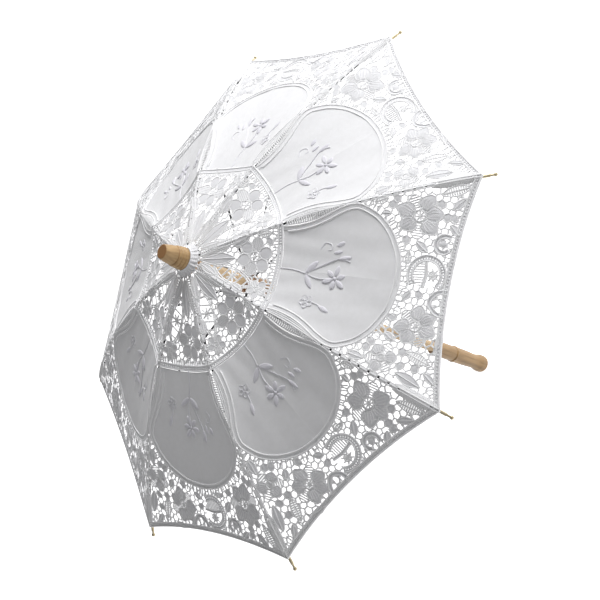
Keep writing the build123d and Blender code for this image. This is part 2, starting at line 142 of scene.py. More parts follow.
def straight(start, end, step):
    return resample(np.array([start, end]), step)


def unit(angle):
    return np.array([math.cos(angle), math.sin(angle)])


def left_of(way):
    return np.array([-way[1], way[0]])


def rotated(points, turn):
    c, s = math.cos(turn), math.sin(turn)
    x, y = points[:, 0], points[:, 1]
    return joined(x * c - y * s, x * s + y * c)


def resample(path, step, closed=False):
    """The same line with evenly spaced points."""
    path = np.asarray(path, float)
    if closed:
        path = np.vstack([path, path[:1]])
    lengths = np.concatenate([[0.0], np.cumsum(np.linalg.norm(np.diff(path, axis=0), axis=1))])
    count = max(2, int(round(lengths[-1] / step)) + 1)
    wanted = np.linspace(0.0, lengths[-1], count)
    even = joined(*(np.interp(wanted, lengths, column) for column in path.T))
    return even[:-1] if closed else even


def smooth(points, step=2.0, closed=False):
    """A smooth line through the points (Catmull-Rom)."""
    points = np.asarray(points, float)
    if closed:
        padded = np.vstack([points[-1:], points, points[:2]])
    else:
        padded = np.vstack([2 * points[0] - points[1], points, 2 * points[-1] - points[-2]])
    t = np.linspace(0.0, 1.0, 13)[:-1, None]
    parts = []
    for a, b, c, d in zip(padded[:-3], padded[1:-2], padded[2:-1], padded[3:]):
        square, cube = 2 * a - 5 * b + 4 * c - d, 3 * b - a - 3 * c + d
        parts.append(0.5 * (2 * b + (c - a) * t + square * t**2 + cube * t**3))
    if not closed:
        parts.append(points[-1:])
    return resample(np.vstack(parts), step, closed)


def normals_of(path, closed=False):
    """Unit vectors to the left of a line at each of its points."""
    if closed:
        along = np.roll(path, -1, axis=0) - np.roll(path, 1, axis=0)
    else:
        along = np.gradient(path, axis=0)
    along = along / np.maximum(np.linalg.norm(along, axis=1, keepdims=True), 1e-9)
    return joined(-along[:, 1], along[:, 0])


def shifted(path, distance, closed=False):
    """The line moved to its left."""
    return path + normals_of(path, closed) * distance


def band_round(path, width):
    """The outline of a tape of this width along a line."""
    return np.vstack([shifted(path, width / 2), shifted(path, -width / 2)[::-1]])


def inside(points, polygon):
    """Which of the points lie inside a closed outline."""
    points = np.atleast_2d(points)
    result = np.zeros(len(points), bool)
    following = np.roll(polygon, -1, axis=0)
    for (x0, y0), (x1, y1) in zip(polygon, following):
        if y0 == y1:
            continue
        spans = (y0 > points[:, 1]) != (y1 > points[:, 1])
        result ^= spans & (points[:, 0] < x0 + (points[:, 1] - y0) * (x1 - x0) / (y1 - y0))
    return result


def ellipse(centre, along, across, turn=0.0, count=16):
    angle = np.arange(count) * 2 * math.pi / count
    local = joined(along * np.cos(angle), across * np.sin(angle))
    return np.asarray(centre) + rotated(local, turn)


def leaf_outline(base, tip, width, roundness=0.8, count=11):
    """A pointed leaf from base to tip."""
    base, tip = np.asarray(base, float), np.asarray(tip, float)
    share = np.linspace(0.0, 1.0, count)
    half = width / 2 * np.sin(math.pi * share) ** roundness
    way = tip - base
    left = left_of(way) / np.linalg.norm(way)
    spine = base + share[:, None] * way
    right_side = spine - half[:, None] * left
    left_side = (spine + half[:, None] * left)[::-1]
    return np.vstack([right_side, left_side[1:-1]])


def arc(centre, radius, start, turn, step=1.8, growth=0.0):
    """Part of a circle, or of a spiral if it grows, from a start angle in degrees."""
    count = max(3, int(abs(math.radians(turn)) * radius / step))
    angle = np.radians(start + turn * np.linspace(0.0, 1.0, count))
    size = radius + growth * np.linspace(0.0, 1.0, count)
    return np.asarray(centre) + joined(size * np.cos(angle), size * np.sin(angle))


# ---- the collector of lace faces ----


class Lace:
    """The faces of one gore in pattern coordinates, in batches.

    For the materials each point also has its place along and across its thread, and how far it
    is cloth (1) rather than cord (0), which is how much painted shade it gets. Raised batches are the
    cords and knots on the cloth.
    """

    def __init__(self):
        self.batches = []

    def add(self, points, threads, quads, triangles=(), woven=0.0, raised=False):
        # the last column is how far the point is cloth, and so how much painted shade it gets
        threads = np.column_stack([threads, np.full(len(points), woven)])
        quads = np.asarray(quads, int).reshape(-1, 4)
        triangles = np.asarray(triangles, int).reshape(-1, 3)
        self.batches.append((raised, points, threads, quads, triangles))

    def arrays(self, raised=None):
        """Points, threads, quads and triangles of the raised, the other or (None) all batches."""
        chosen = [batch[1:] for batch in self.batches if raised in (None, batch[0])]
        starts = np.cumsum([0] + [len(batch[0]) for batch in chosen])
        points, threads, quads, triangles = zip(*chosen)
        quads = [rows + start for rows, start in zip(quads, starts)]
        triangles = [rows + start for rows, start in zip(triangles, starts)]
        return [np.vstack(batches) for batches in (points, threads, quads, triangles)]


def round_profile(radius, sides=6, flatness=1.0):
    angle = (np.arange(sides) + 0.5) * 2 * math.pi / sides
    return joined(radius * np.cos(angle), flatness * radius * np.sin(angle))


def strip_profile(width, thickness):
    half, thin = width / 2, thickness / 2
    return np.array([[-half, -thin], [half, -thin], [half, thin], [-half, thin]])


CORD_PROFILE = round_profile(CORD)
THREAD_PROFILE = round_profile(THREAD, 5)
FINE_PROFILE = round_profile(0.36, 4)
RING_PROFILE = round_profile(0.66)  # round a flower's petal
LEAF_PROFILE = round_profile(0.72)  # round a leaf
SEAM_PROFILE = round_profile(0.6)  # beside an inset and along a rib
INNER_PROFILE = round_profile(0.75)  # the inner cord of a petal's border
FLAT_STITCH = strip_profile(1.1, 1.5)


def sweep(lace, path, profile, lift=0.0, closed=False, woven=0.0):
    """A cord, a thread or a tape: a cross-section (sideways, height) moved along a line."""
    path = np.asarray(path, float)
    rows, sides = len(path), len(profile)
    if rows < 2:
        return
    normals = normals_of(path, closed)
    flat = path[:, None, :] + normals[:, None, :] * profile[None, :, :1]
    height = np.broadcast_to(lift + profile[None, :, 1:], (rows, sides, 1))
    points = np.concatenate([flat, height], axis=2).reshape(-1, 3)
    steps = np.linalg.norm(np.diff(path, axis=0), axis=1)
    run = np.concatenate([[0.0], np.cumsum(steps)])
    threads = joined(np.repeat(run, sides), np.tile(profile[:, 0], rows))
    spans = np.arange(rows if closed else rows - 1)[:, None]
    side = np.arange(sides)[None, :]
    after, beside = (spans + 1) % rows, (side + 1) % sides
    near, far = spans * sides, after * sides
    quads = np.stack([near + side, near + beside, far + beside, far + side], axis=2)
    triangles = []
    if not closed:
        first, last = rows * sides, rows * sides + 1
        ends = np.array([points[:sides].mean(axis=0), points[-sides:].mean(axis=0)])
        points = np.vstack([points, ends])
        threads = np.vstack([threads, [[0.0, 0.0], [run[-1], 0.0]]])
        last_ring = (rows - 1) * sides
        for j in range(sides):
            k = (j + 1) % sides
            triangles += [(first, k, j), (last, last_ring + j, last_ring + k)]
    lace.add(points, threads, quads, triangles, woven, woven == 0 and lift >= RAISED)


DOME_RINGS = (1.0, 0.9, 0.68, 0.36)  # size of each ring of points, as a share of the outline


def patch(lace, outline, dome=0.7, thickness=CLOTH, lift=0.0, turn=0.0, rings=DOME_RINGS, woven=1.0):
    """A small domed piece of cloth inside an outline that runs anticlockwise."""
    count = len(outline)
    centre = outline.mean(axis=0)
    points = []
    for share in rings:
        ring = centre + (outline - centre) * share
        high = lift + (thickness / 2 + dome * math.sqrt(1 - share**2) if share < 1 else 0.0)
        points.append(np.column_stack([ring, np.full(count, high)]))
    under = centre + (outline - centre) * rings[1]
    points.append(np.column_stack([under, np.full(count, lift - thickness / 2)]))
    points.append(np.array([[*centre, lift + thickness / 2 + dome], [*centre, lift - thickness / 2]]))
    points = np.vstack(points)
    j = np.arange(count)
    k = (j + 1) % count
    quads = [
        joined(n * count + j, n * count + k, (n + 1) * count + k, (n + 1) * count + j)
        for n in range(len(rings) - 1)
    ]
    below = len(rings) * count
    quads.append(joined(k, j, below + j, below + k))
    top, bottom = below + count, below + count + 1
    inner = (len(rings) - 1) * count
    upper = joined(inner + j, inner + k, np.full(count, top))
    lower = joined(below + k, below + j, np.full(count, bottom))
    triangles = np.vstack([upper, lower])
    threads = rotated(points[:, :2] - centre, -turn)
    # the share given is how much painted shade the cloth gets; a patch without any is a raised knot
    lace.add(points, threads, np.vstack(quads), triangles, woven, woven == 0)


# ---- stitches and motifs ----


def crossings(polygon, origin, way):
    """Where a straight line crosses an outline, as distances along the line."""
    side = (polygon - origin) @ left_of(way)
    run = (polygon - origin) @ way
    found = []
    for i in range(len(polygon)):
        j = (i + 1) % len(polygon)
        if (side[i] > 0) != (side[j] > 0):
            found.append(run[i] + (run[j] - run[i]) * side[i] / (side[i] - side[j]))
    return sorted(found)


def ladder(lace, polygon, turn, spacing=2.4, profile=THREAD_PROFILE):
    """Parallel threads across an outline."""
    way = unit(turn)
    left = left_of(way)
    centre = polygon.mean(axis=0)
    reach = np.abs((polygon - centre) @ left).max()
    steps = int(reach / spacing)
    for n in range(-steps, steps + 1):
        origin = centre + left * (n * spacing)
        ends = crossings(polygon, origin, way)
        if len(ends) >= 2 and ends[-1] - ends[0] > 1.5:
            sweep(lace, straight(origin + way * ends[0], origin + way * ends[-1], 3.0), profile)


def tape(lace, path, width, closed=False, slotted=True):
    """A tape with a raised cord along each edge, and slots along its middle; its cloth strips and the
    stitches across it get painted shade.
    """
    edge = width / 2 - CORD
    for side in (-edge, edge):
        sweep(lace, shifted(path, side, closed), CORD_PROFILE, 0.2, closed)
    if not slotted:
        sweep(lace, path, strip_profile(width - 1.2, CLOTH), 0.0, closed, woven=1.0)
        return
    inner = width / 2 - 2 * CORD
    if inner > 0.8:
        strip = strip_profile(inner * 0.62, CLOTH)
        for side in (-1, 1):
            sweep(lace, shifted(path, side * inner * 0.68, closed), strip, 0.0, closed, woven=1.0)
    middle = resample(path, 2.6, closed)
    normals = normals_of(middle, closed)
    for point, normal in zip(middle, normals):
        line = np.array([point - normal * edge, point + normal * edge])
        sweep(lace, line, strip_profile(1.7, CLOTH * 1.3), woven=0.6)


def bars(lace, path, length, spacing, motifs=()):
    """Short threads standing out to the left of a line, where no motif lies."""
    points = resample(path, spacing)
    for point, normal in list(zip(points, normals_of(points)))[1:-1]:
        line = straight(point, point + normal * length, 1.0)
        free = np.ones(len(line), bool)
        for motif in motifs:
            free &= ~inside(line, motif)
        if free[1:4].all():
            stop = len(line) if free.all() else int(np.argmin(free)) + 1
            sweep(lace, line[:stop], THREAD_PROFILE, -0.1)


def star(lace, centre, radius, rays=8, turn=0.0):
    """Threads from a knot to the edge of a round opening."""
    for n in range(rays):
        angle = turn + n * 2 * math.pi / rays
        sweep(lace, straight(centre, np.asarray(centre) + radius * unit(angle), 3.0), THREAD_PROFILE)
    patch(lace, ellipse(centre, 1.7, 1.7, count=8), 0.6, woven=0.0)


def petal_outline(centre, inner, outer, width, turn, count=9):
    """A rounded petal that starts near the middle of its flower."""
    share = np.linspace(0.0, 1.0, count)
    run = inner + (outer - inner) * share
    half = width / 2 * (0.3 * (1 - share) + np.sin(math.pi * share**0.8) ** 0.6 * 0.92)
    half[-1] = width * 0.12
    right_side = joined(run, -half)
    left_side = joined(run, half)[::-1]
    return np.asarray(centre) + rotated(np.vstack([right_side, left_side]), turn)


def flower(lace, motifs, centre, radius, petals=7, turn=0.0, open_every=3):
    """A flower of corded petals, some gathered cloth and some worked as a ladder of threads."""
    centre = np.asarray(centre, float)
    width = 2.1 * math.sin(math.pi / petals) * radius * 0.78
    for n in range(petals):
        angle = turn + n * 2 * math.pi / petals
        size = radius * (1.0 + 0.06 * math.sin(2.4 * n + turn))
        outline = petal_outline(centre, radius * 0.26, size, width, angle)
        motifs.append(outline)
        if open_every and n % open_every == open_every - 1:
            ladder(lace, outline, angle + math.pi / 2, 2.3)
        else:
            patch(lace, outline, 0.75, turn=angle)
            gathers(lace, centre, radius * 0.34, size * 0.86, width * 0.36, angle)
        sweep(lace, resample(outline, 1.8, True), RING_PROFILE, 0.3, True)
    ring = ellipse(centre, radius * 0.24, radius * 0.24, count=12)
    motifs.append(ring)
    sweep(lace, ring, THREAD_PROFILE, 0.4, True)
    star(lace, centre, radius * 0.24, 8, turn)


def gathers(lace, centre, start, stop, spread, angle):
    """Fine raised folds that fan out along a petal."""
    way = unit(angle)
    left = left_of(way)
    for share in (-0.8, -0.3, 0.25, 0.75):
        run = np.linspace(start, stop * (1 - 0.16 * abs(share)), 5)
        fan = share * spread * np.sin(np.linspace(0.5, 1.9, 5))
        sweep(lace, centre + run[:, None] * way + fan[:, None] * left, FINE_PROFILE, 0.85)


def disc_flower(lace, motifs, centre, radius, petals=6, turn=0.0):
    """A flower of round cloth discs ringed by cord; some discs are crossed by bright stitches."""
    centre = np.asarray(centre, float)
    size = radius * 0.36
    for n in range(petals):
        angle = turn + n * 2 * math.pi / petals
        disc = ellipse(centre + unit(angle) * radius * 0.64, size, size * 0.88, angle, 12)
        motifs.append(disc)
        patch(lace, disc, 0.4, turn=angle)
        if n % 3 == 1:
            ladder(lace, disc, angle, 1.9, FLAT_STITCH)
        sweep(lace, disc, RING_PROFILE, 0.3, True)
    knot = ellipse(centre, radius * 0.26, radius * 0.26, count=10)
    motifs.append(knot)
    sweep(lace, knot, THREAD_PROFILE, 0.3, True)
    star(lace, centre, radius * 0.26, 6, turn)


def leaf(lace, motifs, base, tip, width, style="cloth"):
    """A corded leaf: cloth with painted shade, worked as a ladder, or open with a few threads."""
    outline = leaf_outline(base, tip, width)
    motifs.append(outline)
    way = np.asarray(tip, float) - np.asarray(base, float)
    turn = math.atan2(way[1], way[0])
    if style == "cloth":
        patch(lace, outline, 0.6, turn=turn)
        sweep(lace, straight(base, tip, 2.0), round_profile(0.5, 5), 0.75)
    elif style == "ladder":
        ladder(lace, outline, turn + math.pi / 2, 2.2)
        sweep(lace, straight(base, tip, 2.5), THREAD_PROFILE, 0.2)
    else:
        ladder(lace, outline, turn + 1.0, 5.0)
        ladder(lace, outline, turn - 1.0, 5.0)
    sweep(lace, resample(outline, 1.8, True), LEAF_PROFILE, 0.25, True)


def add_leaves(lace, motifs, leaves):
    for base, tip, width, style in leaves:
        leaf(lace, motifs, at(*base), at(*tip), width, style)


MESH_ROW = 0.866  # from one row of mesh corners to the next, in cells
MESH_JITTER = 0.24  # how far a corner may stray, in cells
# the six triangles round a corner: pointing up (0) or down (1), and how many columns and rows back
CELL_CORNERS = ((0, 0, 0), (1, 1, 0), (0, 1, 0), (1, 1, 1), (0, 0, 1), (1, 0, 1))


def honeycomb(lace, cell, boundary, motifs, rng, filled_share):
    """Irregular mesh threads inside a boundary and outside the motifs, with cloth in some cells."""
    low, high = boundary.min(axis=0) - cell, boundary.max(axis=0) + cell
    columns = int((high[0] - low[0]) / cell) + 2
    rows = int((high[1] - low[1]) / (cell * MESH_ROW)) + 2
    i, j = np.meshgrid(np.arange(-rows // 2 - 1, columns + 1), np.arange(rows + 1), indexing="ij")
    x = low[0] + (i + j / 2) * cell
    y = low[1] + j * cell * MESH_ROW
    corner = np.stack([x, y], axis=2) + rng.uniform(-MESH_JITTER, MESH_JITTER, (*i.shape, 2)) * cell
    up = (corner[:-1, :-1] + corner[1:, :-1] + corner[:-1, 1:]) / 3
    down = (corner[1:, 1:] + corner[1:, :-1] + corner[:-1, 1:]) / 3

    def is_free(points):
        flat = points.reshape(-1, 2)
        free = inside(flat, boundary)
        for motif in motifs:
            free &= ~inside(flat, motif)
        return free.reshape(points.shape[:-1])

    share = np.linspace(0.0, 1.0, 7)[:, None]
    for starts, ends in ((up, down), (up[1:], down[:-1]), (up[:, 1:], down[:, :-1])):
        start, end = starts.reshape(-1, 1, 2), ends.reshape(-1, 1, 2)
        lines = start + share * (end - start)
        for line, free in zip(lines, is_free(lines)):
            runs = np.flatnonzero(free)
            if len(runs) < 2:
                continue
            first, last = max(runs[0] - 1, 0), min(runs[-1] + 1, len(line) - 1)
            if not free[runs[0] : runs[-1] + 1].all():
                last = runs[0] + int(np.argmin(free[runs[0] :]))
            sweep(lace, line[[first, (first + last) // 2, last]], THREAD_PROFILE)

    middles, free = (up, down), (is_free(up), is_free(down))
    for a in range(1, up.shape[0]):
        for b in range(1, up.shape[1]):
            chance = rng.uniform()
            around = [(kind, a - m, b - n) for kind, m, n in CELL_CORNERS]
            if not all(free[kind][m, n] for kind, m, n in around):
                continue
            grain = math.sin(0.21 * corner[a, b, 0] + 1.0) + math.sin(0.17 * corner[a, b, 1])
            if chance < filled_share + 0.25 * grain:
                cloth = np.array([middles[kind][m, n] for kind, m, n in around])
                patch(lace, cloth, 0.25, rings=(1.0, 0.6), turn=chance * math.pi)


def filled(lace, path, width, spacing=1.5, lift=0.25):
    """Close satin stitches side by side across a line, narrow at both ends."""
    points = resample(path, spacing)
    normals = normals_of(points)
    for n, (point, normal) in enumerate(zip(points, normals)):
        half = width / 2 * math.sin(math.pi * (n + 0.5) / len(points)) ** 0.5
        line = np.array([point - normal * half, point + normal * half])
        sweep(lace, line, round_profile(spacing * 0.52, 5, 0.8), lift)


# ---- outlines shared by the lace and the petals ----

# one side of a petal: distance from the shaft, and gap to the rib's plane
PETAL_SIDE = (
    (110.5, 3.4), (118.0, 5.4), (128.0, 7.0), (140.0, 7.4), (152.0, 5.6),
    (162.0, 3.0), (170.0, 1.6), (177.0, 1.6), (184.0, 3.8), (192.0, 9.5),
    (200.0, 16.5), (208.0, 26.5), (215.0, 38.0), (221.0, 51.5), (225.3, 66.0),
)
PETAL_END = 227.5
OUTER_START = 181.0  # where the petals part from the ribs


def petal_side():
    """From the medallion along one rib and round to the middle of the petal's end."""
    points = [at(radius, half_width(radius) - gap) for radius, gap in PETAL_SIDE]
    mirrored = points[-1] * np.array([1.0, -1.0])
    line = smooth(points + [at(PETAL_END, 0.0), mirrored], 1.5)
    return line[: int(np.argmin(np.abs(line[:, 1]))) + 1]


def whole_petal():
    """The whole petal, anticlockwise, without its straight inner side."""
    half = petal_side()
    half[-1, 1] = 0.0
    mirrored = half[:-1] * np.array([1.0, -1.0])
    return np.vstack([mirrored, half[::-1]])


def band_line(radius):
    """A line across the gore, parallel to the medallion's side."""
    edge = half_width(radius)
    across = np.linspace(-edge, edge, 41)
    bow = BAND_BOW * (1 - (across / edge) ** 2)
    return joined(length_at(radius) + bow, across)


def hem_line(inset):
    """The scalloped edge of the canopy, moved inwards."""
    dip = (HEM_CORNER - HEM_MIDDLE) * math.cos(HALF_TURN)
    corner = HEM_CORNER * math.sin(HALF_TURN)
    scallop = (dip**2 + corner**2) / (2 * dip)
    across = np.linspace(-corner, corner, 121)
    plan = HEM_MIDDLE * math.cos(HALF_TURN) + scallop - np.sqrt(scallop**2 - across**2)
    line = joined(length_at(plan / math.cos(HALF_TURN)), across)
    return resample(shifted(line, inset), 1.9)


def rib_side(start, stop, gap, side):
    """A line along a rib's plane."""
    radius = np.linspace(start, stop, max(3, int((stop - start) / 2.2)))
    return joined(length_at(radius), side * (half_width(radius) - gap))


# ---- the parts of a gore ----


# leaves of the medallion: base and tip (distance from the shaft, across), width and style
MEDALLION_LEAVES = (
    ((20.0, 1.0), (61.0, 5.5), 11.5, "cloth"),
    ((22.0, 4.0), (53.0, 15.0), 6.0, "ladder"),
    ((21.0, -2.5), (44.0, -13.0), 6.5, "cloth"),
    ((58.0, 16.5), (76.0, 27.5), 7.5, "cloth"),
    ((64.0, -19.0), (78.0, -25.5), 5.5, "cloth"),
    ((99.5, 32.5), (86.0, 29.0), 5.5, "ladder"),
)


def make_medallion(lace, rng):
    """The round of lace at the crown, up to the octagonal band."""
    motifs = []
    disc_flower(lace, motifs, at(82.5, 8.5), 18.5, 6, 0.35)
    disc_flower(lace, motifs, at(93.0, -22.5), 9.5, 5, 0.9)
    start, end = at(40.0, -4.5), at(84.0, -19.5)
    opening = leaf_outline(start, end, 12.5, 0.7, 15)
    motifs.append(opening)
    for grow in (0.0, 1.9):
        sweep(lace, shifted(resample(opening, 1.8, True), -grow, True), round_profile(0.7), 0.2, True)
    star(lace, (start + end) / 2, 6.0, 8, 0.3)
    ladder(lace, opening, 0.9, 8.0)
    add_leaves(lace, motifs, MEDALLION_LEAVES)
    for side, reach in ((-1, 60.0), (1, 72.0)):
        seam = rib_side(20.0, reach, 3.4, side)
        sweep(lace, seam, CORD_PROFILE, 0.2)
        for point in resample(rib_side(20.0, reach, 1.6, side), 2.5):
            line = np.array([point - [0.0, side * 1.7], point + [0.0, side * 1.6]])
            sweep(lace, line, THREAD_PROFILE)
        motifs.append(np.vstack([seam, rib_side(20.0, reach, -1.0, side)[::-1]]))
        seam_stitches(lace, 30.0, BAND_INNER, side)
    boundary = np.vstack([rib_side(22.0, 103.5, 0.0, -1), rib_side(22.0, 103.5, 0.0, 1)[::-1]])
    honeycomb(lace, 6.2, boundary, motifs, rng, 0.42)
    middle_line = resample(band_line((BAND_INNER + BAND_OUTER) / 2), 1.9)
    tape(lace, middle_line, BAND_OUTER - BAND_INNER)
    bars(lace, band_line(BAND_INNER), 5.0, 3.0, motifs)


def seam_stitches(lace, start, stop, side):
    """Flat stitches over a rib, with short gaps through which it shows."""
    line = rib_side(start, stop, 0.9, side)
    for n in range(0, len(line) - 3, 4):
        sweep(lace, line[n : n + 4], strip_profile(1.8, 0.7), 0.1, woven=0.4)


def make_crown_folds(lace):
    """Gathered cloth next to the ferrule: uneven radial pleats that run out into the lace."""
    rows, columns = 7, 31
    share = np.linspace(-1.0, 1.0, columns)
    inner = CROWN_RADIUS - 0.4
    outer = 18.6 + 1.4 * np.sin(share * 5.1 + 0.6) + 1.1 * np.cos(share * 11.3)
    depth = np.linspace(0.0, 1.0, rows)[:, None]
    grid_radius = inner + depth * (outer - inner)[None, :]
    pleats = 0.5 + 0.5 * np.cos(share * 2 * math.pi + 0.9 * np.sin(share * 3.7))
    lift = 0.15 + (0.9 - 0.6 * depth) * pleats[None, :]
    across = share[None, :] * half_width(grid_radius)
    add_sheet(lace, np.stack([length_at(grid_radius), across, lift], axis=2), CLOTH)


def add_sheet(lace, top, thickness, woven=0.5):
    """A grid of points as a thin sheet with an upper and a lower face and closed edges."""
    rows, columns = top.shape[:2]
    bottom = top.copy()
    bottom[:, :, 2] -= thickness
    points = np.vstack([top.reshape(-1, 3), bottom.reshape(-1, 3)])
    i, j = np.meshgrid(np.arange(rows - 1), np.arange(columns - 1), indexing="ij")
    a = (i * columns + j).ravel()
    upper = joined(a, a + columns, a + columns + 1, a + 1)
    offset = rows * columns
    lower = upper[:, ::-1] + offset
    first, last = np.arange(columns), (rows - 1) * columns + np.arange(columns - 2, -1, -1)
    right, left = np.arange(1, rows) * columns + columns - 1, np.arange(rows - 2, 0, -1) * columns
    loop = np.concatenate([first, right, last, left])
    following = np.roll(loop, -1)
    rim = joined(loop, following, following + offset, loop + offset)
    # the sheet's share of the cotton materials' painted shade, half by default
    lace.add(points, points[:, :2].copy(), np.vstack([upper, lower, rim]), woven=woven)


def make_petal_border(lace):
    """The tape round a petal, with its two raised cords."""
    outline = whole_petal()
    sweep(lace, outline, CORD_PROFILE, 0.25)
    inner = shifted(outline, 4.3)
    sweep(lace, inner[3:-3], INNER_PROFILE, 0.45)
    sweep(lace, shifted(outline, 2.1), strip_profile(4.0, CLOTH), 0.05, woven=0.4)


def make_insets(lace):
    """Half of the pointed inset over each rib: bars on one side, lengthwise cords on the other."""
    side_line = petal_side()
    radius = radius_at(side_line[:, 0])
    edge = side_line[(radius > 112.0) & (radius < 166.0) & (side_line[:, 1] > 0)]
    gap = half_width(radius_at(edge[:, 0])) - edge[:, 1]
    inner = edge.copy()
    inner[:, 1] += np.minimum(1.9, gap / 3)
    sweep(lace, inner, SEAM_PROFILE, 0.1)
    for along, across in resample(inner, 2.3)[1:-1]:
        rib = float(half_width(radius_at(along)))
        if rib - across > 1.2:
            bar = np.array([[along, across], [along, (across + rib) / 2], [along, rib]])
            sweep(lace, bar, THREAD_PROFILE)
    for share in (0.25, 0.5, 0.78):
        line = joined(edge[:, 0], -(edge[:, 1] + gap * share))
        sweep(lace, line, round_profile(0.75, 5, 0.8), 0.1)
    middle = joined(edge[:, 0], -(edge[:, 1] + gap * 0.5))[::6]
    widths = np.clip(gap - 1.0, 0.4, None)[::6]
    for n in range(len(middle) - 1):
        sweep(lace, middle[n : n + 2], strip_profile(float(widths[n]), 0.3), -0.2, woven=1.0)
    for side in (-1, 1):
        sweep(lace, rib_side(165.0, HEM_CORNER - 4.0, 2.1, side), SEAM_PROFILE, 0.1)
        seam_stitches(lace, 165.0, HEM_CORNER - 4.0, side)


# leaves of the outer lace: base and tip (distance from the shaft, across), width and style
OUTER_LEAVES = (
    ((251.0, 84.0), (274.0, 95.0), 9.5, "ladder"),
    ((262.0, 71.0), (272.0, 84.0), 6.5, "cloth"),
    ((262.5, 58.0), (271.0, 49.0), 7.0, "cloth"),
    ((207.0, 75.5), (196.0, 70.0), 6.5, "ladder"),
    ((211.0, 62.0), (203.0, 61.5), 5.5, "cloth"),
    ((240.0, -80.0), (262.0, -90.0), 9.5, "cloth"),
    ((245.0, -61.0), (266.0, -69.0), 9.0, "ladder"),
    ((269.0, -55.0), (271.0, -40.0), 6.0, "cloth"),
    ((263.0, -77.0), (273.0, -86.0), 6.0, "cloth"),
    ((236.0, 39.5), (247.0, 30.5), 7.5, "cloth"),
    ((233.0, -15.0), (239.0, -6.0), 6.0, "cloth"),
    ((231.0, 30.0), (232.0, 18.0), 5.5, "ladder"),
    ((211.5, -72.0), (196.0, -69.0), 7.5, "cloth"),
    ((232.0, -52.0), (224.0, -46.0), 6.5, "cloth"),
)


def make_outer_motifs(lace, motifs):
    """Flowers, leaves and scroll tapes between the petals and the hem."""
    flower(lace, motifs, at(236.0, 62.5), 21.5, 7, 0.2)
    flower(lace, motifs, at(248.5, -37.0), 19.0, 7, 0.6)
    flower(lace, motifs, at(226.0, -69.0), 14.0, 6, 0.1, 2)

    scroll_centre = at(249.5, 10.0)
    scroll = arc(scroll_centre, 15.6, 215.0, -255.0)
    tape(lace, scroll, 7.0)
    motifs.append(band_round(scroll, 7.0))
    inner = ellipse(scroll_centre, 12.1, 12.1, count=30)
    motifs.append(inner)
    fan = inner[inner[:, 0] < scroll_centre[0] - 1.0]
    ladder(lace, np.vstack([fan, [scroll_centre + [-1.0, 0.0]]]), math.pi * 0.03, 2.4)
    bow = smooth([scroll_centre + step for step in ([-2.0, -12.0], [-0.5, 0.0], [-2.0, 12.0])])
    tape(lace, bow, 3.6, slotted=False)
    knot = scroll_centre + np.array([6.0, 0.5])
    star(lace, knot, 6.5, 8, 0.2)
    sweep(lace, arc(knot, 3.8, 0.0, 360.0), THREAD_PROFILE)

    hook_centre = at(260.0, 38.5)
    hook = arc(hook_centre, 9.0, 60.0, 265.0, growth=-3.0)
    tape(lace, hook, 5.2, slotted=False)
    bud = ellipse(hook_centre + np.array([-1.0, 1.5]), 3.6, 3.0)
    patch(lace, bud, 0.7)
    motifs.extend([band_round(hook, 5.2), bud])

    turns = ((270.5, -25.0), (262.0, -22.5), (256.0, -14.0), (261.0, -5.0), (270.0, -3.0))
    curl = smooth([at(*point) for point in turns], 1.8)
    tape(lace, curl, 5.0, slotted=False)
    motifs.append(band_round(curl, 5.0))

    add_leaves(lace, motifs, OUTER_LEAVES)


def make_corners(lace, motifs):
    """Thick satin stitches and a raised cord along each rib next to the tip, in a strip kept free of
    other lace.
    """
    for side in (-1, 1):
        filled(lace, rib_side(243.0, HEM_CORNER - 2.0, 3.0, side), 6.5, 1.7, 0.3)
        band = rib_side(238.0, HEM_CORNER, 0.0, side)
        inner = rib_side(238.0, HEM_CORNER, 6.3, side)
        motifs.append(np.vstack([band, inner[::-1]]))
        sweep(lace, rib_side(246.0, HEM_CORNER - 1.5, 1.4, side), CORD_PROFILE, 0.6)


def make_hem(lace, motifs):
    """The tape along the scallop: two cords, a cloth strip with painted shade, small knots and bars
    beside it.
    """
    middle = hem_line(HEM_WIDTH / 2)
    for inset in (CORD, HEM_WIDTH - CORD):
        sweep(lace, hem_line(inset), CORD_PROFILE, 0.3)
    sweep(lace, middle, strip_profile(HEM_WIDTH - 1.0, CLOTH), 0.05, woven=0.5)
    for point in resample(middle, 3.1):
        patch(lace, ellipse(point, 0.9, 1.1, count=7), 0.7, lift=0.15, rings=(1.0, 0.7), woven=0.0)
    bars(lace, hem_line(HEM_WIDTH), 7.5, 6.2, motifs)


def make_outer_lace(lace, rng):
    """Everything between the petals and the hem."""
    motifs = []
    make_outer_motifs(lace, motifs)
    make_corners(lace, motifs)
    make_hem(lace, motifs)
    outline = whole_petal()
    outer_part = outline[radius_at(outline[:, 0]) > OUTER_START]
    bars(lace, outer_part[::-1], 7.5, 4.4, motifs)
    rim = shifted(outer_part, -1.0)
    hem = hem_line(HEM_WIDTH - 0.5)
    right = rib_side(OUTER_START, 272.0, 1.6, -1)
    left = rib_side(OUTER_START, 272.0, 1.6, 1)
    boundary = np.vstack([rim[::-1], right, hem, left[::-1]])
    honeycomb(lace, 6.9, boundary, motifs, rng, 0.62)


